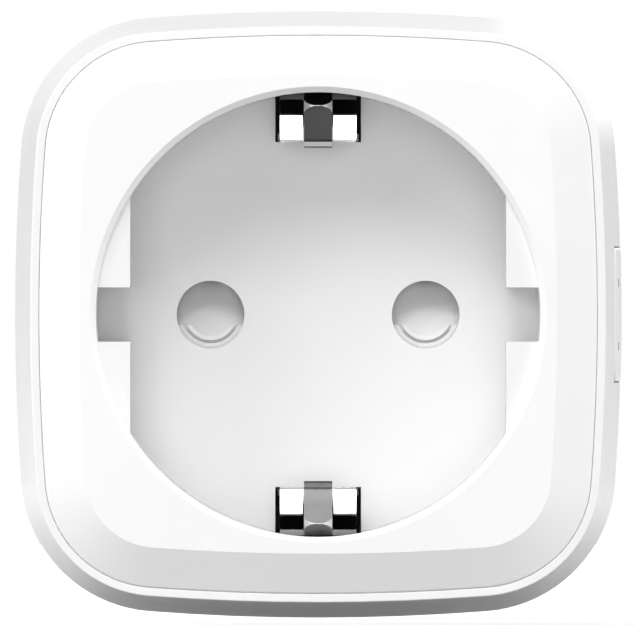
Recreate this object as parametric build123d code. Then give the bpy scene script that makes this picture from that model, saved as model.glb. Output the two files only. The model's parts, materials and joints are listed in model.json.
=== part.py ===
from build123d import *
import os
from math import sqrt

# Smart plug: an earthed recessed socket in front, an earthed plug boss behind.
# Frame: +X right seen from the front, +Y from the front towards the wall, +Z up.
# Origin: centre of the boss's engagement face, midway between the two plug pins.
# All sizes in millimetres, all "_y" names are depths along Y.

# Standard socket and plug sizes
pin_spacing = 19.0
pin_radius = 2.4
pin_length = 19.0
well_radius = 19.5
well_depth = 17.5
aperture_radius = 3.0
boss_depth = 17.5
boss_radius = 18.3
earth_hole_radius = 2.5
earth_hole_z = 10.0

# Case: half sizes of its outline, and depths from the front to the shoulder
body_half = 26.95
side_radius = 200.0
corner_radius = 12.3
face_half = 20.95
cover_half = 24.48
rebate_half = 24.5
rim_half = 25.25
wall = 2.0
front_y = -58.5
rim_y = -57.2
plate_back_y = -56.2
ledge_y = -55.2
widest_y = -26.5
shoulder_y = -boss_depth
shoulder_inner_y = -19.1
back_round = 8.0
seam_round = 0.22
rim_round_outer = 0.12
rim_round_inner = 0.08

# Well, lugs, pockets and posts of the front cover
well_floor_y = front_y + well_depth
floor_back_y = -39.2
cup_radius = 21.0
cover_skirt = 1.35
mouth_chamfer = 0.5
mouth_chamfer_depth = 0.36
lug_face_x = 16.5
lug_top_y = -57.4
notch_half = 2.38
pocket_half = 3.79
pocket_inner_z = 15.23
pocket_outer_z = 21.63
post_xz = 16.5
post_radius = 2.4
post_end_y = -37.5
screw_radius = 1.1
pilot_depth = 8.0

# Snap arms of the cover and their catches in the housing
arm_x = 21.0
arm_thickness = 1.3
arm_end_y = -46.0
arm_z = 14.0
arm_width = 4.0
barb_reach = 1.0
barb_front_y = -48.0
barb_back_y = -46.9
barb_width = 2.8
catch_clearance = 0.3

# Boss of the rear housing
boss_flat_x = 15.9
boss_rib_half = 2.1
boss_floor_y = -2.5
boss_chamfer = 0.7
boss_inner_radius = 16.5
boss_inner_x = 14.1
channel_width = 8.0
channel_floor_z = 15.4
channel_wall_z = 13.9
channel_wall_width = 11.6
board_screw_xz = 15.5
board_screw_radius = 0.9
standoff_radius = 2.6

# Shutter
shutter_half = 14.6
shutter_top_z = 10.4
shutter_bottom_z = -4.6
shutter_front_y = -38.9
shutter_back_y = -35.9
shutter_round = 1.0
shutter_window_z = 5.75
shutter_window_radius = 2.75
scoop_radius = 1.9
scoop_top_z = 3.1
scoop_lip_depth = 0.4
scoop_floor = 0.5
groove_radius = 2.45
groove_half = 0.14
groove_depth = 0.9
groove_z = 0.05
spring_seat_z = -13.6
spring_radius = 1.05
spring_wire = 0.2
spring_turns = 8

# Carrier, contact sleeves and earth clips
carrier_front_y = -35.5
carrier_back_y = -33.5
carrier_width = 32.6
carrier_height = 28.6
carrier_arm_y = -35.0
tower_end_y = -23.0
sleeve_outer = 3.1
sleeve_inner = 2.4
sleeve_front_y = -35.3
sleeve_back_y = -22.2
tail_x = 2.75
tail_half = 0.3
tail_height = 1.2
clip_axis_y = -35.0
clip_axis_z = 18.0
clip_half = 3.36
clip_front_y = -52.6
clip_back_y = -37.2
clip_back_z = 18.9
clip_root_radius = 0.7
curl_outer = 1.35
curl_inner = 0.75
finger_gap_half = 1.35
finger_front_y = -50.0
finger_outer_z = 17.35
finger_inner_z = 15.5
tongue_half = 1.245
tongue_tip_y = -55.6
tongue_tip_z = 18.35
sheet = 0.5
slit_half = 0.4
link_half = 2.0
link_inner_z = 13.1
link_thickness = 0.7

# Plug pins and earth parts of the boss
pin_tip_round = 1.6
pin_shank_radius = 2.0
pin_flange_radius = 3.4
pin_flange_y = -4.0
pin_tail_radius = 1.3
strip_outer_z = 16.2
strip_half = 3.6

# Boards
board_front_y = -21.6
board_back_y = -20.0
board_half = 21.0
control_x = 18.6
control_thickness = 1.0
control_front_y = -39.0
busbar = 0.8
leg_half = 0.35

# Side button, its lights and its switch
button_y = -33.8
button_height = 11.8
button_width = 11.4
button_corner = 1.2
button_gap = 0.15
button_proud = 0.12
button_flange = 0.8
button_round = 0.2
plunger_x = 22.65
plunger_radius = 0.8
guide_x = 22.4
light_z = 2.8
light_height = 0.72
light_width = 1.4

pin_x = pin_spacing / 2
pin_places = [Pos(-pin_x, 0), Pos(pin_x, 0)]
board_screw_places = [Pos(side * board_screw_xz, side * board_screw_xz) for side in (-1, 1)]
control_face_x = control_x + control_thickness
clip_outer_z = clip_back_z + sheet
side_centre = side_radius - body_half
corner_centre = (sqrt(2 * (side_radius - corner_radius) ** 2 - side_centre**2) - side_centre) / 2


def at_depth(y):
    """Plane that faces the front at a depth; its own axes are the part's X and Z."""
    return Plane(origin=(0, y, 0), x_dir=(1, 0, 0), z_dir=(0, -1, 0))


def slab(sketch, start_y, end_y):
    """A sketch in X and Z made solid between two depths, start_y the nearer to the front."""
    return extrude(at_depth(end_y) * sketch, amount=end_y - start_y)


def block(x0, x1, y0, y1, z0, z1):
    """A box between two corners."""
    return Pos((x0 + x1) / 2, (y0 + y1) / 2, (z0 + z1) / 2) * Box(x1 - x0, y1 - y0, z1 - z0)


def side_profile(points, half_width):
    """A closed outline in Y and Z made solid equally to both sides of X = 0."""
    plane = Plane(origin=(0, 0, 0), x_dir=(0, 1, 0), z_dir=(1, 0, 0))
    return extrude(plane * make_face(Polyline(*points, close=True)), amount=half_width, both=True)


def strap(points, radius, width):
    """Sheet metal of one thickness bent along a route in Y and Z."""
    plane = Plane(origin=(0, 0, 0), x_dir=(0, 1, 0), z_dir=(1, 0, 0))
    route = trace(FilletPolyline(*points, radius=radius), line_width=sheet)
    return extrude(plane * route, amount=width / 2, both=True)


def rod(radius, start_y, end_y, x=0, z=0):
    """A cylinder along Y."""
    return slab(Pos(x, z) * Circle(radius), start_y, end_y)


def corners(reach):
    """The four places at (+-reach, +-reach) in a sketch of X and Z."""
    return [Pos(sx * reach, sz * reach) for sx in (-1, 1) for sz in (-1, 1)]


def holes_at(places, radius):
    """Sketch of equal circles."""
    return Sketch() + [place * Circle(radius) for place in places]


def outline(half):
    """Bowed rounded square: four side arcs of large radius, tangent to four corner arcs."""
    reach = (half + side_centre) / (side_radius - corner_radius)
    tangent_x = (corner_centre + side_centre) * reach - side_centre
    tangent_z = corner_centre * reach
    corner_mid = corner_centre + (corner_radius - body_half + half) / sqrt(2)
    side = ThreePointArc((tangent_x, -tangent_z), (half, 0), (tangent_x, tangent_z))
    corner = ThreePointArc((tangent_x, tangent_z), (corner_mid, corner_mid), (tangent_z, tangent_x))
    arcs = [Rot(0, 0, 90 * turn) * arc for turn in range(4) for arc in (side, corner)]
    return make_face(arcs)


def flare(front_half, start_y, back_half, end_y):
    """Straight draft from one outline to a larger or smaller one."""
    return loft([at_depth(start_y) * outline(front_half), at_depth(end_y) * outline(back_half)], ruled=True)


def case_form(inset, back_y):
    """Drafted outer form of the housing, or its inside when inset by the wall."""
    rear = slab(outline(body_half - inset), widest_y, back_y)
    back_edges = rear.faces().sort_by(Axis.Y)[-1].edges()
    return flare(rim_half - inset, rim_y, body_half - inset, widest_y) + fillet(back_edges, back_round - inset)


def button_prism(margin):
    """The button's rounded outline, widened by a margin, pushed along X through the right-hand wall."""
    plane = Plane(origin=(19, button_y, 0), x_dir=(0, 1, 0), z_dir=(1, 0, 0))
    sketch = RectangleRounded(button_width + 2 * margin, button_height + 2 * margin, button_corner + margin)
    return extrude(plane * sketch, amount=10)


def wall_layer(outer_inset, inner_inset):
    """The part of the case's form between two insets from its outside."""
    return case_form(outer_inset, shoulder_y) - case_form(inner_inset, shoulder_inner_y)


# Front cover

def snap_arms():
    """Eight barbed arms, two on each side of the cover."""
    face_x = arm_x + arm_thickness
    arm = block(arm_x, face_x, plate_back_y, arm_end_y, arm_z - arm_width / 2, arm_z + arm_width / 2)
    barb = block(face_x, face_x + barb_reach, barb_front_y, barb_back_y,
                 arm_z - barb_width / 2, arm_z + barb_width / 2)
    pair = [arm + barb, mirror(arm + barb, Plane.XY)]
    return [Rot(0, 90 * turn, 0) * one for turn in range(4) for one in pair]


def guide_lugs():
    """Side lugs of the well with the notch between them."""
    segments = Circle(well_radius + 0.3) - Rectangle(2 * lug_face_x, 60) - Rectangle(60, 2 * notch_half)
    return slab(segments, lug_top_y, well_floor_y)


def front_cover():
    """Face, bevel, well, lugs, screw posts and snap arms: one moulding."""
    body = flare(face_half, front_y, cover_half, rim_y) + slab(outline(cover_half), rim_y, ledge_y)
    seam_edges = body.edges().filter_by_position(Axis.Y, rim_y - 0.01, rim_y + 0.01)
    body = fillet(seam_edges, seam_round)
    body -= slab(outline(cover_half - cover_skirt), plate_back_y, ledge_y)
    body += rod(cup_radius, plate_back_y, floor_back_y)
    body += slab(holes_at(corners(post_xz), post_radius), plate_back_y, post_end_y)
    body -= rod(well_radius, front_y, well_floor_y)
    mouth = [at_depth(front_y) * Circle(well_radius + mouth_chamfer),
             at_depth(front_y + mouth_chamfer_depth) * Circle(well_radius)]
    body -= loft(mouth, ruled=True)
    body += guide_lugs()
    body += snap_arms()
    body -= slab(holes_at(pin_places, aperture_radius), well_floor_y, floor_back_y)
    pocket = block(-pocket_half, pocket_half, plate_back_y, floor_back_y, pocket_inner_z, pocket_outer_z)
    body -= [pocket, mirror(pocket, Plane.XY)]
    return body - slab(holes_at(corners(post_xz), screw_radius), post_end_y - pilot_depth, post_end_y)


# Rear housing

def boss_outline():
    """Plug boss: a circle with flat sides, a rib on each flat, and two earth channels."""
    body = Circle(boss_radius) & Rectangle(2 * boss_flat_x, 2 * boss_radius)
    body += Circle(boss_radius) & Rectangle(2 * boss_radius, 2 * boss_rib_half)
    depth = boss_radius - channel_floor_z
    for side in (-1, 1):
        body -= Pos(0, side * (channel_floor_z + depth)) * Rectangle(channel_width, 2 * depth)
    return body


def boss_cavity():
    """Inside of the boss, stepped in behind the earth channels."""
    cavity = Circle(boss_inner_radius) & Rectangle(2 * boss_inner_x, 2 * boss_inner_radius)
    depth = boss_radius - channel_wall_z
    for side in (-1, 1):
        cavity -= Pos(0, side * (channel_wall_z + depth)) * Rectangle(channel_wall_width, 2 * depth)
    return cavity


def catches():
    """Recesses inside the wall for the barbs of the snap arms."""
    inner_x = arm_x + arm_thickness + catch_clearance
    half = barb_width / 2 + catch_clearance
    one = block(inner_x, inner_x + barb_reach + catch_clearance, barb_front_y - catch_clearance / 2,
                barb_back_y + catch_clearance, arm_z - half, arm_z + half)
    pair = [one, mirror(one, Plane.XY)]
    return [Rot(0, 90 * turn, 0) * catch for turn in range(4) for catch in pair]


def rear_housing():
    """Shell with its rim, shoulder and boss: one moulding."""
    boss = slab(boss_outline(), shoulder_y - 1.0, 0)
    boss = chamfer(boss.faces().sort_by(Axis.Y)[-1].edges(), boss_chamfer)
    shell = case_form(0, shoulder_y) - case_form(wall, shoulder_inner_y)
    shell -= slab(outline(rebate_half), rim_y, ledge_y)
    rim = shell.faces().sort_by(Axis.Y)[0]
    shell = fillet(rim.outer_wire().edges(), rim_round_outer)
    rim = shell.faces().sort_by(Axis.Y)[0]
    shell = fillet(rim.inner_wires()[0].edges(), rim_round_inner)
    shell += boss
    shell -= slab(boss_cavity(), shoulder_inner_y - 1.0, boss_floor_y)
    slot = block(-strip_half - 0.1, strip_half + 0.1, shoulder_inner_y - 1.0, shoulder_y + 0.5,
                 strip_outer_z - 0.9, strip_outer_z + 0.1)
    shell -= [slot, mirror(slot, Plane.XY)]
    openings = holes_at(pin_places, pin_shank_radius) + Pos(0, earth_hole_z) * Circle(earth_hole_radius)
    shell -= slab(openings, boss_floor_y, 0)
    shell -= button_prism(button_gap)
    shell -= catches()
    shell += slab(holes_at(corners(board_screw_xz), standoff_radius), board_back_y, shoulder_inner_y)
    return shell - slab(holes_at(board_screw_places, board_screw_radius), board_back_y, shoulder_y - 0.4)


# Button, light guide and switch

def side_button():
    """Cap that stands a little proud of the drafted wall, a flange behind it and a stem to the switch."""
    cap = button_prism(0) & wall_layer(-button_proud, wall + 0.5)
    cap = fillet(cap.faces().sort_by(Axis.X)[-1].edges(), button_round)
    flange = button_prism(button_flange) & wall_layer(wall + 0.1, wall + 0.9)
    stem = block(plunger_x, plunger_x + 1.55, button_y - 1.0, button_y + 1.0, -1.2, 1.2)
    dimple = Pos(body_half, button_y, light_height / 2) * Sphere(0.5)
    return cap + flange + stem - dimple - light_guide()


def light_guide():
    """Two light bars through the cap, joined behind it beside the stem."""
    reach = light_z + light_height / 2
    foot_x = guide_x + sheet
    back_y = button_y + 2.1
    guide = block(guide_x, foot_x, button_y + 1.3, back_y, -reach, reach)
    outside = case_form(-button_proud, shoulder_y)
    for side in (-1, 1):
        low = side * light_z - light_height / 2
        bar = block(guide_x, body_half + 1, button_y - light_width / 2, button_y + light_width / 2,
                    low, low + light_height)
        guide += bar & outside
        guide += block(guide_x, foot_x, button_y, back_y, low, low + light_height)
    return guide


def switch_body():
    """Square tactile switch on the control board."""
    top_x = control_face_x + 1.9
    body = block(control_face_x, top_x, button_y - 2.0, button_y + 2.0, -2.0, 2.0)
    well = Cylinder(plunger_radius + 0.1, 1.1, align=(Align.CENTER, Align.CENTER, Align.MAX))
    return body - Pos(top_x, button_y, 0) * Rot(0, 90, 0) * well


def switch_plunger():
    """Round plunger of the tactile switch, against the button's stem."""
    plunger = Cylinder(plunger_radius, 1.2, align=(Align.CENTER, Align.CENTER, Align.MAX))
    return Pos(plunger_x, button_y, 0) * Rot(0, 90, 0) * plunger


# Shutter

def ramp_pocket(x):
    """Round scoop that widens upwards and gets deeper towards the window, with a groove round its lower lip."""
    before_y = shutter_front_y - 1
    lip_y = shutter_front_y + scoop_lip_depth
    side = side_profile([(before_y, -4), (lip_y - 0.15, -4), (lip_y, -scoop_radius),
                         (shutter_back_y - scoop_floor, scoop_top_z), (before_y, scoop_top_z)], 4)
    mouth = Circle(scoop_radius) + Pos(0, 1.1) * Rectangle(6.6, 4.0)
    scoop = slab(mouth, before_y, shutter_back_y) & side
    ring = Circle(groove_radius + groove_half) - Circle(groove_radius - groove_half)
    lower_ring = Pos(0, groove_z) * (ring - Pos(0, 2.05) * Rectangle(6, 6))
    return Pos(x, 0, 0) * (scoop + slab(lower_ring, before_y, shutter_front_y + groove_depth))


def shutter():
    """Sliding plate: two ramps over the contacts, and two windows above them."""
    plate = block(-shutter_half, shutter_half, shutter_front_y, shutter_back_y,
                  shutter_bottom_z, shutter_top_z)
    plate = fillet(plate.edges().filter_by(Axis.Y), shutter_round)
    for x in (-pin_x, pin_x):
        plate -= ramp_pocket(x)
        plate -= rod(shutter_window_radius, shutter_front_y, shutter_back_y, x, shutter_window_z)
    return plate


def shutter_spring():
    """Compression spring between the carrier's seat and the shutter."""
    end_gap = 0.05
    length = shutter_bottom_z - spring_seat_z - 2 * (spring_wire + end_gap)
    start = Pos(0, (shutter_front_y + shutter_back_y) / 2, spring_seat_z + spring_wire + end_gap)
    helix = Helix(pitch=length / spring_turns, height=length, radius=spring_radius)
    wire = sweep(Plane(helix @ 0, z_dir=helix % 0) * Circle(spring_wire), path=helix)
    return start * wire


# Carrier and contacts

def contact_carrier():
    """Insulating frame: back plate, shutter rails, contact towers, corner arms."""
    carrier = slab(RectangleRounded(carrier_width, carrier_height, 1.5), floor_back_y, carrier_back_y)
    guideway = Rectangle(2 * shutter_half + 0.8, carrier_height - 4.0)
    carrier -= slab(Pos(0, -1.5) * guideway, floor_back_y, carrier_front_y)
    carrier += block(-2.5, 2.5, floor_back_y, carrier_front_y, -carrier_height / 2, spring_seat_z)
    for x in (-pin_x, pin_x):
        carrier += slab(Pos(x, 0) * Rectangle(8.4, 9.4), carrier_back_y, tower_end_y)
        carrier -= rod(sleeve_outer, sleeve_front_y, tower_end_y, x)
        carrier -= rod(pin_radius + 0.4, carrier_front_y, sleeve_front_y, x)
    carrier += slab(holes_at(corners(post_xz), post_radius + 0.3), post_end_y, carrier_arm_y)
    for side in (-1, 1):
        arm = Pos(side * (post_xz - 0.85), 0) * Rectangle(1.3, 2 * post_xz)
        carrier += slab(arm, post_end_y, carrier_arm_y)
    carrier -= slab(holes_at(corners(post_xz), screw_radius), post_end_y, carrier_arm_y)
    carrier -= slab(Rectangle(2 * clip_half + 0.28, 40), carrier_front_y, carrier_front_y + 0.9)
    link_slot = block(-link_half - 0.1, link_half + 0.1, carrier_front_y, carrier_back_y,
                      link_inner_z - 0.1, link_inner_z + 0.9)
    return carrier - link_slot


def contact(side):
    """Split sleeve that grips a round pin, with a solder tail to the main board."""
    sleeve = rod(sleeve_outer, sleeve_front_y, sleeve_back_y) - rod(sleeve_inner, sleeve_front_y, sleeve_back_y)
    sleeve -= block(-slit_half, slit_half, sleeve_front_y, sleeve_back_y, 0, 4)
    sleeve -= block(-slit_half, slit_half, sleeve_front_y, -26.0, -4, 0)
    tail = block(tail_x - tail_half, tail_x + tail_half, tower_end_y, board_back_y + 0.4,
                 -tail_height, tail_height)
    turned = sleeve + tail
    return Pos(side * pin_x, 0, 0) * (turned if side > 0 else mirror(turned, Plane.YZ))


def socket_earth_bracket():
    """Strap across the carrier with a curled end for the root of each clip."""
    reach = clip_axis_z - 1.1
    bar = block(-clip_half, clip_half, sleeve_front_y, sleeve_front_y + 0.6, -reach, reach)
    curl = Circle(curl_outer) - Circle(curl_inner) - Pos(-1.2, 0) * Rectangle(1.9, 1.7)
    plane = Plane(origin=(0, 0, 0), x_dir=(0, 1, 0), z_dir=(1, 0, 0))
    for side in (-1, 1):
        placed = plane * Pos(clip_axis_y, side * clip_axis_z) * curl
        bar += extrude(placed, amount=clip_half, both=True)
    return bar


def earth_tongue():
    """Tongue folded to a wedge, with a foot that touches the plug's earth strip and a rounded tip."""
    fold = [(tongue_tip_y, tongue_tip_z), (-50.1, 15.2), (-49.6, 14.65), (-49.0, 14.65), (-45.0, 16.0),
            (-45.2, 16.5), (-49.1, 15.25), (-49.6, 15.6), (-52.4, 17.3), (-52.2, clip_back_z),
            (-50.5, clip_back_z), (-50.5, clip_outer_z), (-53.4, clip_outer_z)]
    tongue = side_profile(fold, tongue_half)
    tongue = fillet(tongue.edges().filter_by(Axis.X).group_by(Axis.Z)[0], 0.25)
    tip = Pos(0, tongue_tip_y + tongue_half) * Circle(tongue_half)
    length = 13.5
    shank = Pos(0, tongue_tip_y + tongue_half + length / 2) * Rectangle(2 * tongue_half, length)
    return tongue & extrude(Plane.XY * (tip + shank), amount=30, both=True)


def earth_clip():
    """Upper earth contact: back strap, tongue, two side fingers, and a round root in the bracket's curl."""
    clip = block(-clip_half, clip_half, clip_front_y, clip_back_y, clip_back_z, clip_outer_z) + earth_tongue()
    route = [(clip_back_y, finger_outer_z), (finger_front_y, finger_outer_z),
             (finger_front_y, finger_inner_z), (-44.5, finger_inner_z + 0.45)]
    fingers = strap(route, (0.3, 0.3), 2 * clip_half)
    fingers -= block(-finger_gap_half, finger_gap_half, finger_front_y - 2, -42.0, 14.0, 18.4)
    clip += fingers
    clip += block(-clip_half, clip_half, clip_back_y - 0.7, clip_back_y, finger_outer_z, clip_outer_z)
    clip += block(-clip_half, clip_half, clip_back_y - 0.4, clip_axis_y, clip_axis_z - 0.4, clip_axis_z + 0.4)
    root = Pos(0, clip_axis_y, clip_axis_z) * Rot(0, 90, 0) * Cylinder(clip_root_radius, 2 * clip_half)
    return clip + root


def cross_head(place, radius, start_y, end_y, recess_y):
    """Pan head with a cross recess cut from its back."""
    cross = Rectangle(2.4, 0.5) + Rectangle(0.5, 2.4)
    return slab(place * Circle(radius), start_y, end_y) - slab(place * cross, recess_y, end_y)


def carrier_screws():
    """Four pan-head self-tapping screws from behind, into the cover's posts."""
    screws = []
    for place in corners(post_xz):
        shank = slab(place * Circle(screw_radius), post_end_y - 7.0, carrier_arm_y)
        screws.append(shank + cross_head(place, 2.1, carrier_arm_y, carrier_arm_y + 1.4, carrier_arm_y + 0.6))
    return Compound(screws)


# Plug side

def plug_pin(x):
    """Round pin: rounded tip, shank through the boss floor, flange and tail inside."""
    pin = rod(pin_radius, 0, pin_length)
    pin = fillet(pin.faces().sort_by(Axis.Y)[-1].edges(), pin_tip_round)
    pin += rod(pin_shank_radius, boss_floor_y, 0) + rod(pin_flange_radius, pin_flange_y, boss_floor_y)
    return Pos(x, 0, 0) * (pin + rod(pin_tail_radius, board_front_y - 0.6, pin_flange_y))


def pin_retainer():
    """Insulating plate over the flanges of both pins."""
    plate = Rectangle(2 * boss_inner_x - 0.6, 8.0) - holes_at(pin_places, pin_tail_radius)
    return slab(plate, pin_flange_y - 1.6, pin_flange_y)


def earth_strip():
    """Upper side contact of the boss, its tail through the shoulder to the main board."""
    strip = block(-strip_half, strip_half, shoulder_y + 0.5, -0.9, channel_floor_z, strip_outer_z)
    strip = fillet(strip.edges().filter_by(Axis.X).group_by(Axis.Z)[-1], 0.5)
    return strip + block(-strip_half, strip_half, board_front_y - 0.5, shoulder_y + 0.6,
                         channel_floor_z + 0.1, strip_outer_z - 0.1)


def earth_pin_sleeve():
    """Female earth contact behind the hole in the boss."""
    end_y = -16.0
    sleeve = rod(earth_hole_radius + 0.6, end_y, boss_floor_y, 0, earth_hole_z)
    sleeve -= rod(earth_hole_radius, end_y, boss_floor_y, 0, earth_hole_z)
    return sleeve - block(-slit_half, slit_half, end_y, -5.0, earth_hole_z - 4.0, earth_hole_z)


def earth_link():
    """Bar from the socket's earth bracket, through the main board, to the rear sleeve."""
    return block(-link_half, link_half, sleeve_front_y + 0.6, -6.0, link_inner_z, link_inner_z + link_thickness)


# Electronics

def main_board():
    """Power board with its holes for pins, tails and the earth parts."""
    holes = holes_at(pin_places, pin_tail_radius) + holes_at(board_screw_places, board_screw_radius)
    strip_middle_z = (channel_floor_z + strip_outer_z) / 2
    strip_hole = Rectangle(2 * strip_half, strip_outer_z - channel_floor_z - 0.2)
    for side in (-1, 1):
        holes += Pos(side * (pin_x + tail_x), 0) * Rectangle(2 * tail_half, 2 * tail_height)
        holes += Pos(0, side * strip_middle_z) * strip_hole
    holes += Pos(0, link_inner_z + link_thickness / 2) * Rectangle(2 * link_half, link_thickness)
    return slab(outline(board_half) - holes, board_front_y, board_back_y)


def relay_case():
    """Sealed relay behind the board, inside the boss."""
    case = block(-5.1, 5.1, board_back_y, -7.3, -13.8, 4.2)
    return fillet(case.edges().filter_by(Axis.Y) + case.faces().sort_by(Axis.Y)[-1].edges(), 0.5)


def relay_terminals():
    """Four relay legs soldered through to the front of the board."""
    legs = [block(x - leg_half, x + leg_half, board_front_y - 0.8, board_front_y, z - leg_half, z + leg_half)
            for x in (-3.5, 3.5) for z in (-11.5, 2.0)]
    return Compound(legs)


def live_busbar():
    """Copper link from the live pin to the relay."""
    back_y = board_back_y + busbar
    bar = block(-pin_x - 1.8, -3.9, board_back_y, back_y, 4.4, 6.4)
    bar += block(-pin_x - 1.8, -pin_x + 1.8, board_back_y, back_y, -2.4, 6.4)
    return bar - rod(pin_tail_radius, board_back_y, back_y, -pin_x)


def neutral_busbar():
    """Copper link from the neutral pin to the neutral contact's tail."""
    back_y = board_back_y + busbar
    bar = block(pin_x - 2.0, pin_x + 4.4, board_back_y, back_y, -2.2, 2.2)
    bar -= rod(pin_tail_radius, board_back_y, back_y, pin_x)
    return bar - block(pin_x + tail_x - tail_half, pin_x + tail_x + tail_half, board_back_y, back_y,
                       -tail_height, tail_height)


def control_board():
    """Radio and control board standing beside the carrier."""
    return block(control_x, control_face_x, control_front_y, board_front_y - 2.4, -10.0, 10.0)


def radio_shield():
    """Pressed shielding can on the control board."""
    can = block(control_face_x, control_face_x + 1.8, -31.2, -25.4, -6.0, 6.0)
    return fillet(can.edges().filter_by(Axis.X) + can.faces().sort_by(Axis.X)[-1].edges(), 0.4)


def header_pins():
    """Row of pins from the control board to the main board."""
    pins = [block(control_face_x, control_face_x + 0.6, -25.0, board_front_y, z - 0.3, z + 0.3)
            for z in (-9.0, -7.6, 7.6, 9.0)]
    return Compound(pins)


def status_leds():
    """Two chip lamps in line with the light guide."""
    lamps = [block(control_face_x, control_face_x + 0.7, button_y - 0.8, button_y + 0.8, z - 0.5, z + 0.5)
             for z in (-light_z, light_z)]
    return Compound(lamps)


def can_capacitor(x, z):
    """Electrolytic can on the front of the board, with the roll groove near its foot."""
    radius = 4.0
    can = rod(radius, -32.8, board_front_y, x, z)
    can -= rod(radius + 0.2, -24.2, -23.6, x, z) - rod(radius - 0.3, -24.2, -23.6, x, z)
    return fillet(can.faces().sort_by(Axis.Y)[0].edges(), 0.5)


def bulk_capacitors():
    """Two electrolytic cans side by side."""
    return Compound([can_capacitor(-5.5, 10.0), can_capacitor(-14.2, 12.6)])


def transformer_core():
    """Ferrite core: two side legs and two yokes round the winding."""
    core = block(6.0, 17.0, -33.0, -22.4, 7.5, 13.0)
    return core - block(7.6, 15.4, -31.4, -24.0, 7.0, 13.5)


def transformer_winding():
    """Taped winding on its bobbin inside the core."""
    coil = block(7.6, 15.4, -31.4, -24.0, 6.6, 13.9)
    coil = fillet(coil.edges().filter_by(Axis.Y), 1.2)
    for z in (6.6, 13.0):
        coil += block(8.2, 14.8, -25.0, board_front_y, z, z + 0.9)
    return coil


def fuse_resistor():
    """Wire-wound fusible resistor lying on the board."""
    body = Pos(-12.0, -23.6, -9.5) * Rot(0, 90, 0) * Cylinder(2.0, 9.0)
    for x in (-15.25, -8.75):
        body += block(x - 0.25, x + 0.25, -23.6, board_front_y, -9.8, -9.2)
    return body


def varistor():
    """Disc varistor standing on the board."""
    disc = Pos(13.2, -28.0, -8.6) * Cylinder(5.0, 3.0)
    return fillet(disc.edges(), 0.8) + block(10.6, 15.8, -24.2, board_front_y, -9.0, -8.2)


def line_filter_capacitor():
    """Boxed suppression capacitor."""
    box = block(-5.2, 7.8, -32.4, board_front_y - 0.9, -14.4, -9.6)
    box = fillet(box.edges().filter_by(Axis.Y), 0.5)
    for x in (-1.0, 6.6):
        box += block(x - 0.3, x + 0.3, board_front_y - 0.9, board_front_y, -12.3, -11.7)
    return box


def board_screws():
    """Two screws from the board into the housing's standoffs."""
    screws = []
    head_y = board_front_y - 1.1
    for place in board_screw_places:
        shank = slab(place * Circle(board_screw_radius), board_front_y, shoulder_y - 0.5)
        head = slab(place * Circle(1.7), head_y, board_front_y)
        screws.append(shank + head - slab(place * Rectangle(2.6, 0.5), head_y, head_y + 0.5))
    return Compound(screws)


nodes = {
    "front_cover": front_cover(),
    "rear_housing": rear_housing(),
    "side_button": side_button(),
    "light_guide": light_guide(),
    "switch_body": switch_body(),
    "switch_plunger": switch_plunger(),
    "shutter": shutter(),
    "shutter_spring": shutter_spring(),
    "contact_carrier": contact_carrier(),
    "live_contact": contact(-1),
    "neutral_contact": contact(1),
    "socket_earth_bracket": socket_earth_bracket(),
    "earth_clip_top": earth_clip(),
    "earth_clip_bottom": mirror(earth_clip(), Plane.XY),
    "carrier_screws": carrier_screws(),
    "live_plug_pin": plug_pin(-pin_x),
    "neutral_plug_pin": plug_pin(pin_x),
    "pin_retainer": pin_retainer(),
    "earth_strip_top": earth_strip(),
    "earth_strip_bottom": mirror(earth_strip(), Plane.XY),
    "earth_pin_sleeve": earth_pin_sleeve(),
    "earth_link": earth_link(),
    "main_board": main_board(),
    "relay_case": relay_case(),
    "relay_terminals": relay_terminals(),
    "live_busbar": live_busbar(),
    "neutral_busbar": neutral_busbar(),
    "control_board": control_board(),
    "radio_shield": radio_shield(),
    "header_pins": header_pins(),
    "status_leds": status_leds(),
    "bulk_capacitors": bulk_capacitors(),
    "transformer_core": transformer_core(),
    "transformer_winding": transformer_winding(),
    "fuse_resistor": fuse_resistor(),
    "varistor": varistor(),
    "line_filter_capacitor": line_filter_capacitor(),
    "board_screws": board_screws(),
}

os.makedirs("parts", exist_ok=True)
for name, shape in nodes.items():
    export_step(shape, f"parts/{name}.step")
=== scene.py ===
import json
import math

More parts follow.
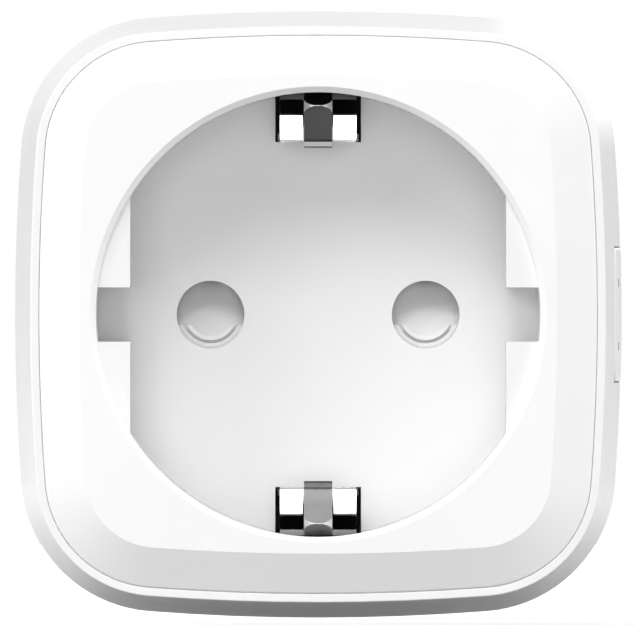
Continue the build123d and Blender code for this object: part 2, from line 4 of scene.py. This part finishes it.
import bmesh
import bpy
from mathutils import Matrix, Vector

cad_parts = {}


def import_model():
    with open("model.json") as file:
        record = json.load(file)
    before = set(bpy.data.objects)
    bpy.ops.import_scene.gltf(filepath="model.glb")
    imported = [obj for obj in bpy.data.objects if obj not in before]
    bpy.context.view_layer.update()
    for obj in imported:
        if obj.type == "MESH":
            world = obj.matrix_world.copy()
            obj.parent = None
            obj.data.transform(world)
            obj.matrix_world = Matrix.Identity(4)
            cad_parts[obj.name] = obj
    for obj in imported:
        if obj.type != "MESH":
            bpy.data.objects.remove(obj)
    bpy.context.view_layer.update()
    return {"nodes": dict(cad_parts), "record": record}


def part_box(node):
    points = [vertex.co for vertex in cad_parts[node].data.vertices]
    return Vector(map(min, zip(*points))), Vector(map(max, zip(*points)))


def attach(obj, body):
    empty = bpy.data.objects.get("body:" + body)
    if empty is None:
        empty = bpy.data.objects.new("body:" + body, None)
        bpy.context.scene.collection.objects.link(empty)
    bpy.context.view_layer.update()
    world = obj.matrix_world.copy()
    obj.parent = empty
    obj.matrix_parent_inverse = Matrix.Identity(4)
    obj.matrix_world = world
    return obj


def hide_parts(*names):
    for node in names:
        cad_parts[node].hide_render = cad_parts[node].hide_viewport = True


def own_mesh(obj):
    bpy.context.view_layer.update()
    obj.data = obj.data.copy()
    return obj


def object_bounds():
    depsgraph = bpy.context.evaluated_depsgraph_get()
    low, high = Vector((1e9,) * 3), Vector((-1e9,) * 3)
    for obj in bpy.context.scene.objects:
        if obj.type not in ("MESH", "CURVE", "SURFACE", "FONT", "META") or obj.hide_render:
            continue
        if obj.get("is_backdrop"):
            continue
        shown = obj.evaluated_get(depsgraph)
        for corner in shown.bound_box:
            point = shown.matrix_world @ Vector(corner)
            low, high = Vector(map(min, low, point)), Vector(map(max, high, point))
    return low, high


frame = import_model()
nodes = frame["nodes"]
MM = 0.001


# Materials ---------------------------------------------------------------------------------------
# Scales are those of noise patterns: a larger number gives a finer pattern. A shade is how dark the
# other end of a blend is, and the pairs of gloss numbers are added to the roughness of a finish.

CASE_TINT = (0.82, 0.82, 0.82)
BLEND_STOPS = (0.3, 0.7)

CLOUD_SCALE = 60
CLOUD_SHADE = 0.97
GLOSS_SCALE = 180
GLOSSIER, DULLER = -0.05, 0.06
GRAIN_SCALE = 2600
GRAIN_HEIGHT = 0.004 * MM

STAIN_SCALE = 220
STAIN_SHADE = 0.8
DRAWING_SCALE = 1400
DRAWING_HEIGHT = 0.003 * MM
BETWEEN_LINES, IN_LINES = -0.06, 0.08


class Surface:
    """A material's node tree, with short calls for the nodes that every finish here shares."""

    def __init__(self, name):
        self.material = bpy.data.materials.new(name)
        self.material.use_nodes = True
        self.tree = self.material.node_tree
        self.shader = self.tree.nodes["Principled BSDF"]
        self.position = self.tree.nodes.new("ShaderNodeTexCoord").outputs["Object"]

    def node(self, kind, **settings):
        made = self.tree.nodes.new(kind)
        for key, value in settings.items():
            setattr(made, key, value)
        return made

    def link(self, source, target):
        self.tree.links.new(source, target)

    def set(self, **sockets):
        for key, value in sockets.items():
            self.shader.inputs[key.replace("_", " ")].default_value = value

    def noise(self, scale, detail, stretch=(1, 1, 1)):
        mapping = self.node("ShaderNodeMapping")
        mapping.inputs["Scale"].default_value = stretch
        self.link(self.position, mapping.inputs["Vector"])
        texture = self.node("ShaderNodeTexNoise")
        texture.inputs["Scale"].default_value = scale
        texture.inputs["Detail"].default_value = detail
        self.link(mapping.outputs["Vector"], texture.inputs["Vector"])
        return texture.outputs["Fac"]

    def ramp(self, source, low, high):
        """A blend between two colours over the middle of the source's range."""
        ramp = self.node("ShaderNodeValToRGB")
        for element, position, colour in zip(ramp.color_ramp.elements, BLEND_STOPS, (low, high)):
            element.position = position
            element.color = (*colour, 1)
        self.link(source, ramp.inputs["Fac"])
        return ramp.outputs["Color"]

    def spread(self, source, low, high):
        """The source's range stretched to run from low to high."""
        span = self.node("ShaderNodeMapRange")
        span.inputs["To Min"].default_value = low
        span.inputs["To Max"].default_value = high
        self.link(source, span.inputs["Value"])
        return span.outputs["Result"]

    def colour(self, source):
        self.link(source, self.shader.inputs["Base Color"])

    def roughness(self, source):
        self.link(source, self.shader.inputs["Roughness"])

    def bump(self, source, height):
        bump = self.node("ShaderNodeBump")
        bump.inputs["Distance"].default_value = height
        self.link(source, bump.inputs["Height"])
        self.link(bump.outputs["Normal"], self.shader.inputs["Normal"])


def moulded(name, tint, rough=0.42):
    """Moulded plastic: fine spark-eroded grain, faint cloudiness, slight gloss variation."""
    surface = Surface(name)
    darker = tuple(c * CLOUD_SHADE for c in tint)
    surface.colour(surface.ramp(surface.noise(CLOUD_SCALE, 3), darker, tint))
    gloss = surface.noise(GLOSS_SCALE, 5)
    surface.roughness(surface.spread(gloss, rough + GLOSSIER, rough + DULLER))
    surface.bump(surface.noise(GRAIN_SCALE, 6), GRAIN_HEIGHT)
    surface.set(IOR=1.48)
    return surface.material


def plated(name, tint, rough=0.24, stretch=(1, 1, 14)):
    """Plated sheet metal with drawing lines along one way and small stains."""
    surface = Surface(name)
    darker = tuple(c * STAIN_SHADE for c in tint)
    surface.colour(surface.ramp(surface.noise(STAIN_SCALE, 5), darker, tint))
    lines = surface.noise(DRAWING_SCALE, 4, stretch)
    surface.roughness(surface.spread(lines, rough + BETWEEN_LINES, rough + IN_LINES))
    surface.bump(lines, DRAWING_HEIGHT)
    surface.set(Metallic=1.0)
    return surface.material


finishes = {
    "case_white": moulded("case_white", CASE_TINT),
    "button_white": moulded("button_white", (0.88, 0.88, 0.88)),
    "light_pipe": moulded("light_pipe", (0.16, 0.52, 0.52), rough=0.2),
    "shutter_white": moulded("shutter_white", (0.80, 0.80, 0.80), rough=0.3),
    "inner_plastic": moulded("inner_plastic", (0.45, 0.45, 0.44), rough=0.5),
    "contact_metal": plated("contact_metal", (0.74, 0.73, 0.71)),
    "pin_metal": plated("pin_metal", (0.80, 0.79, 0.76), rough=0.18, stretch=(14, 1, 14)),
    "spring_steel": plated("spring_steel", (0.5, 0.5, 0.52)),
    "screw_steel": plated("screw_steel", (0.62, 0.62, 0.58)),
    "board_green": moulded("board_green", (0.03, 0.20, 0.09), rough=0.35),
    "relay_black": moulded("relay_black", (0.02, 0.02, 0.02), rough=0.45),
    "copper": plated("copper", (0.80, 0.45, 0.28)),
    "tin_can": plated("tin_can", (0.66, 0.66, 0.64), rough=0.35),
    "capacitor_sleeve": moulded("capacitor_sleeve", (0.03, 0.035, 0.05), rough=0.25),
    "ferrite": moulded("ferrite", (0.06, 0.06, 0.065), rough=0.55),
    "winding_tape": moulded("winding_tape", (0.72, 0.52, 0.08), rough=0.25),
    "varistor_blue": moulded("varistor_blue", (0.03, 0.11, 0.36), rough=0.3),
    "filter_box": moulded("filter_box", (0.62, 0.48, 0.14), rough=0.35),
    "lamp": moulded("lamp", (0.85, 0.83, 0.66), rough=0.2),
}

for part in frame["record"]["subparts"]:
    mesh = nodes[part["node"]].data
    mesh.materials.clear()
    mesh.materials.append(finishes[part["material_slot"]])


def new_piece(mesh, name, materials):
    """Turns finished mesh work into an object of the scene, with its outside facing out."""
    bmesh.ops.recalc_face_normals(mesh, faces=mesh.faces)
    data = bpy.data.meshes.new(name)
    mesh.to_mesh(data)
    mesh.free()
    for material in materials:
        data.materials.append(material)
    made = bpy.data.objects.new(name, data)
    bpy.context.scene.collection.objects.link(made)
    return made


# Earth contacts of the socket ----------------------------------------------------------------------
# Each is drawn as the upper one, in millimetres of Y (depth) and Z, and mirrored for the lower one.

SHEET = 0.5
CONTACT_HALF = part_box("earth_clip_top")[1].x / MM
STRAP_ROUTE = [(-52.6, 19.15), (-37.2, 19.15)]
WEB_ROUTE = [(-37.5, 17.1), (-37.5, 18.9)]

TONGUE_HALF = 1.245
TONGUE_STEPS = 28
TIP_Y, TIP_Z = -55.6, 18.35
TIP_THICKNESS = 0.02
CAP_Y, CAP_Z = -53.4, 19.4
FOOT_Y, FOOT_Z = -50.1, 15.2
FOOT_AND_INSIDE = [(-50.05, 14.8), (-49.9, 14.66), (-49.0, 14.65), (-45.0, 16.0),
                   (-45.2, 16.5), (-49.1, 15.25), (-49.6, 15.6), (-52.4, 17.3),
                   (-52.2, 18.9), (-50.5, 18.9), (-50.5, 19.4)]

FINGER_ROUTE = [(-38.0, 17.62), (-50.12, 17.62), (-50.12, 15.36), (-44.5, 15.9)]
FINGER_INNER = 1.35
FINGER_SHEET = 0.25
FINGER_BEND = 0.15
BEND_STEPS = 7

EDGE_ROUND = 0.05 * MM
EDGE_SEGMENTS = 2
EDGE_ANGLE = 35
SAME_POINT = 1e-7

# Face numbers of a contact and the tones on them, which are painted light: one plated metal in lit
# and shaded copies.
BRIGHT, RAMP, FOOT, CAP, STRAP, ROOT = range(6)
PAINTED_LIGHT_PARTS = ("finger", "ramp", "foot", "cap", "strap", "root")
# Upper contact: painted shade on the ramp, foot, cap, strap and root where the well's top wall shades
# it, and a painted dark reflection on the ramp; the fingers keep the plain metal tone.
UPPER_PAINTED_LIGHT_TINTS = (0.93, 0.08, 0.22, 0.01, 0.02, 0.001)
# Lower contact: a painted reflection of the lit well above on the ramp and cap, painted shade on the
# foot and strap, and a near-black painted shade of the void behind on the root.
LOWER_PAINTED_LIGHT_TINTS = (0.93, 0.66, 0.11, 0.93, 0.11, 0.001)


def arc_corner(before, corner, after, radius):
    """Points of a bend of this centreline radius that rounds one corner of a route."""
    corner = Vector(corner)
    towards_before = (Vector(before) - corner).normalized()
    towards_after = (Vector(after) - corner).normalized()
    half_angle = towards_before.angle(towards_after) / 2
    run = radius / math.tan(half_angle)
    centre = corner + (towards_before + towards_after).normalized() * radius / math.sin(half_angle)
    start = corner + towards_before * run - centre
    end = corner + towards_after * run - centre
    return [centre + start.slerp(end, i / BEND_STEPS) * radius for i in range(BEND_STEPS + 1)]


def bent_route(points, radius):
    """A route of straight runs with every inner corner rounded."""
    route = [Vector(points[0])]
    for before, corner, after in zip(points, points[1:], points[2:]):
        route += arc_corner(before, corner, after, radius)
    return route + [Vector(points[-1])]


def thickened(route, thickness):
    """Closed outline of a sheet that follows a centreline."""
    sides = ([], [])
    for i, point in enumerate(route):
        along = (route[min(i + 1, len(route) - 1)] - route[max(i - 1, 0)]).normalized()
        across = Vector((-along.y, along.x)) * thickness / 2
        sides[0].append(point + across)
        sides[1].append(point - across)
    return sides[0] + sides[1][::-1]


class Pressing:
    """Collects pieces of formed sheet metal into one mesh with several materials; on the earth
    contacts these are lit and shaded copies of one metal, as painted light.
    """

    def __init__(self, side):
        self.side = side
        self.mesh = bmesh.new()

    def sections(self, stations, finish_of_edge, end_finish):
        """Joins outlines at X stations, each a list of (y, z), and closes both ends."""
        rings = []
        for x, outline in stations:
            rings.append([self.mesh.verts.new((x * MM, y * MM, self.side * z * MM))
                          for y, z in outline])
        count = len(rings[0])
        for near, far in zip(rings, rings[1:]):
            for i in range(count):
                j = (i + 1) % count
                face = self.mesh.faces.new((near[i], near[j], far[j], far[i]))
                face.material_index = finish_of_edge.get(i, BRIGHT)
                face.smooth = True
        for ring in (rings[0], rings[-1]):
            face = self.mesh.faces.new(ring)
            face.material_index = end_finish

    def sheet(self, outline, x0, x1, finish):
        """One outline pushed straight along X."""
        edges = {i: finish for i in range(len(outline))}
        self.sections([(x0, outline), (x1, outline)], edges, finish)

    def finish(self, name, materials):
        bmesh.ops.remove_doubles(self.mesh, verts=self.mesh.verts, dist=SAME_POINT)
        return new_piece(self.mesh, name, materials)


def soften(piece):
    """Small rounded edges with clean shading."""
    bevel = piece.modifiers.new("edges", "BEVEL")
    bevel.width = EDGE_ROUND
    bevel.segments = EDGE_SEGMENTS
    bevel.limit_method = "ANGLE"
    bevel.angle_limit = math.radians(EDGE_ANGLE)
    bevel.harden_normals = True


def tongue_stations():
    """Outlines across the folded tongue: its tip is round from above and a wedge from the side."""
    ramp_slope = (FOOT_Z - TIP_Z) / (FOOT_Y - TIP_Y)
    cap_slope = (CAP_Z - TIP_Z) / (CAP_Y - TIP_Y)
    stations = []
    for i in range(TONGUE_STEPS + 1):
        angle = math.pi * (i / TONGUE_STEPS - 0.5)
        setback = TONGUE_HALF * (1 - math.cos(angle))
        y = TIP_Y + setback
        front = [(CAP_Y, CAP_Z), (y, TIP_Z + cap_slope * setback),
                 (y, TIP_Z + ramp_slope * setback - TIP_THICKNESS), (FOOT_Y, FOOT_Z)]
        stations.append((TONGUE_HALF * math.sin(angle), front + FOOT_AND_INSIDE))
    return stations


def earth_contact(name, side, tones):
    """Back strap, folded tongue with a rounded wedge tip, and two side fingers."""
    pressing = Pressing(side)
    pressing.sections(tongue_stations(), {0: CAP, 2: RAMP, 3: FOOT, 4: FOOT, 5: FOOT}, BRIGHT)
    finger = thickened(bent_route(FINGER_ROUTE, FINGER_BEND), FINGER_SHEET)
    for x0, x1 in ((-CONTACT_HALF, -FINGER_INNER), (FINGER_INNER, CONTACT_HALF)):
        pressing.sheet(finger, x0, x1, BRIGHT)
    for route, finish in ((STRAP_ROUTE, STRAP), (WEB_ROUTE, ROOT)):
        outline = thickened([Vector(point) for point in route], SHEET)
        pressing.sheet(outline, -CONTACT_HALF, CONTACT_HALF, finish)
    piece = pressing.finish(name, tones)
    soften(piece)
    return piece


def painted_light_tones(side_name, tints):
    """Lit and shaded copies of one plated metal, as painted light on one contact, in the order of
    their face numbers.
    """
    return [plated(f"{side_name}_{part}", (tint, tint, tint * 0.99), rough=0.22)
            for part, tint in zip(PAINTED_LIGHT_PARTS, tints)]


# Each contact gets its own lit and shaded copies of the metal: painted shade and painted reflection.
upper_painted_tones = painted_light_tones("upper_contact_painted_light", UPPER_PAINTED_LIGHT_TINTS)
lower_painted_tones = painted_light_tones("lower_contact_painted_light", LOWER_PAINTED_LIGHT_TINTS)
contacts = (("upper_earth_contact", 1, upper_painted_tones, "earth_clip_top", "upper_earth_clip"),
            ("lower_earth_contact", -1, lower_painted_tones, "earth_clip_bottom", "lower_earth_clip"))
for name, side, tones, node, body in contacts:
    piece = earth_contact(name, side, tones)
    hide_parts(node)
    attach(piece, body)


# Shutter spring ------------------------------------------------------------------------------------
# Drawn with closed end turns, one wire apart, and evenly spaced open turns between them.

COIL_TURNS = 8
CLOSED_TURNS = 1
COIL_STEPS = 28
WIRE_SIDES = 10
WIRE_RADIUS = 0.2 * MM


def coil_height(turn, length):
    """Height along the coil: closed turns rise by one wire each, the others share the rest."""
    closed_rise = 2 * WIRE_RADIUS
    if turn < CLOSED_TURNS:
        return turn * closed_rise
    if turn > COIL_TURNS - CLOSED_TURNS:
        return length - (COIL_TURNS - turn) * closed_rise
    open_rise = (length - 2 * CLOSED_TURNS * closed_rise) / (COIL_TURNS - 2 * CLOSED_TURNS)
    return CLOSED_TURNS * closed_rise + (turn - CLOSED_TURNS) * open_rise


def coil_spring(name, low, high, material):
    """Compression spring along Z that fills a box."""
    middle = (low + high) / 2
    coil_radius = (high.x - low.x) / 2 - WIRE_RADIUS
    length = high.z - low.z - 2 * WIRE_RADIUS
    mesh = bmesh.new()
    rings = []
    for step in range(COIL_TURNS * COIL_STEPS + 1):
        turn = step / COIL_STEPS
        outward = Vector((math.cos(math.tau * turn), math.sin(math.tau * turn), 0))
        height = low.z + WIRE_RADIUS + coil_height(turn, length)
        centre = Vector((middle.x, middle.y, height)) + outward * coil_radius
        ring = []
        for i in range(WIRE_SIDES):
            angle = math.tau * i / WIRE_SIDES
            offset = outward * math.cos(angle) + Vector((0, 0, math.sin(angle)))
            ring.append(mesh.verts.new(centre + offset * WIRE_RADIUS))
        rings.append(ring)
    for near, far in zip(rings, rings[1:]):
        for i in range(WIRE_SIDES):
            j = (i + 1) % WIRE_SIDES
            mesh.faces.new((near[i], near[j], far[j], far[i])).smooth = True
    mesh.faces.new(rings[0])
    mesh.faces.new(rings[-1])
    return new_piece(mesh, name, [material])


spring_low, spring_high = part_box("shutter_spring")
coil = coil_spring("shutter_coil", spring_low, spring_high, finishes["spring_steel"])
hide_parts("shutter_spring")
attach(coil, "housing")
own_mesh(coil)


# Stage, lights and camera ------------------------------------------------------------------------

FLOOR_RADIUS = 0.8
FLOOR_SIDES = 96
FLOOR_GAP = 1.4 * MM
FLOOR_CLOUD_SCALE = 90
FLOOR_TINTS = ((0.90, 0.90, 0.90), (0.92, 0.92, 0.92))
FADE_START, FADE_END = 0.05, 0.20

# Strengths of the white surroundings as a light, and the point in the well that every lamp faces.
SURROUNDINGS = 0.187
EXTRA_FROM_ABOVE = 0.635
LIGHT_TARGET = Vector((0, -0.04, 0))

# The picture is SEEN_WIDTH across at the depth TRUE_SCALE_Y, inside the well.
LENS = 1400
SENSOR_WIDTH = 36
SEEN_WIDTH = 55.9 * MM
TRUE_SCALE_Y = -0.045
CAMERA_X, CAMERA_Z = -0.1 * MM, 0.18 * MM
CLIP_START, CLIP_END = 0.1, 6


def floor():
    """Pale matt floor just under the case, which turns into the white surroundings further out."""
    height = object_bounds()[0].z - FLOOR_GAP
    bpy.ops.mesh.primitive_circle_add(vertices=FLOOR_SIDES, radius=FLOOR_RADIUS, fill_type="NGON",
                                      location=(0, 0, height))
    disc = bpy.context.object
    disc.name = "floor"
    surface = Surface("floor_paper")
    surface.colour(surface.ramp(surface.noise(FLOOR_CLOUD_SCALE, 3), *FLOOR_TINTS))
    surface.set(Roughness=0.9, Emission_Color=(1, 1, 1, 1))
    distance = surface.node("ShaderNodeVectorMath", operation="LENGTH")
    surface.link(surface.position, distance.inputs[0])
    fade = surface.node("ShaderNodeMapRange", interpolation_type="SMOOTHSTEP")
    fade.inputs["From Min"].default_value = FADE_START
    fade.inputs["From Max"].default_value = FADE_END
    surface.link(distance.outputs["Value"], fade.inputs["Value"])
    surface.link(fade.outputs["Result"], surface.shader.inputs["Emission Strength"])
    disc.data.materials.append(surface.material)
    disc.visible_diffuse = False
    disc.visible_shadow = False
    disc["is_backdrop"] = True


def area_light(name, bearing, height, distance, size, power):
    """Round soft light. Bearing, to the right of straight in front, and height are in degrees."""
    turn = math.radians(bearing)
    rise = math.radians(height)
    level = math.cos(rise)
    place = Vector((math.sin(turn) * level, -math.cos(turn) * level, math.sin(rise))) * distance
    light = bpy.data.lights.new(name, "AREA")
    light.shape = "DISK"
    light.size = size
    light.energy = power
    lamp = bpy.data.objects.new(name, light)
    lamp.location = place
    lamp.rotation_euler = (LIGHT_TARGET - place).to_track_quat("-Z", "Y").to_euler()
    bpy.context.scene.collection.objects.link(lamp)


def world():
    """White surroundings: full white to the eye, weaker as a light, and brighter from above."""
    made = bpy.data.worlds.new("studio")
    bpy.context.scene.world = made
    made.use_nodes = True
    tree = made.node_tree
    background = tree.nodes["Background"]
    background.inputs["Color"].default_value = (1, 1, 1, 1)
    direction = tree.nodes.new("ShaderNodeTexCoord")
    parts = tree.nodes.new("ShaderNodeSeparateXYZ")
    above = tree.nodes.new("ShaderNodeMapRange")
    above.interpolation_type = "SMOOTHSTEP"
    above.inputs["To Min"].default_value = SURROUNDINGS
    above.inputs["To Max"].default_value = SURROUNDINGS + EXTRA_FROM_ABOVE
    path = tree.nodes.new("ShaderNodeLightPath")
    seen = tree.nodes.new("ShaderNodeMapRange")
    tree.links.new(direction.outputs["Generated"], parts.inputs["Vector"])
    tree.links.new(parts.outputs["Z"], above.inputs["Value"])
    tree.links.new(path.outputs["Is Camera Ray"], seen.inputs["Value"])
    tree.links.new(above.outputs["Result"], seen.inputs["To Min"])
    tree.links.new(seen.outputs["Result"], background.inputs["Strength"])


def camera():
    """Straight on to the socket face through a very long lens, so that depth hardly changes scale."""
    data = bpy.data.cameras.new("camera")
    data.lens = LENS
    data.sensor_width = SENSOR_WIDTH
    data.clip_start = CLIP_START
    data.clip_end = CLIP_END
    made = bpy.data.objects.new("camera", data)
    distance = SEEN_WIDTH * LENS / SENSOR_WIDTH
    made.location = (CAMERA_X, TRUE_SCALE_Y - distance, CAMERA_Z)
    made.rotation_euler = (math.radians(90), 0, 0)
    bpy.context.scene.collection.objects.link(made)
    bpy.context.scene.camera = made


floor()
world()
area_light("key_high", bearing=-5, height=36, distance=1.1, size=0.4, power=3.8)
area_light("key_left", bearing=-42, height=25, distance=1.1, size=0.4, power=2.3)
area_light("front", bearing=0, height=0, distance=1.6, size=0.7, power=6.2)
area_light("left", bearing=-80, height=15, distance=1.0, size=0.5, power=5.5)
area_light("right", bearing=75, height=15, distance=1.0, size=0.5, power=4.4)
area_light("rear", bearing=160, height=18, distance=1.2, size=0.6, power=3.0)
camera()
bpy.context.scene.view_settings.view_transform = "Standard"
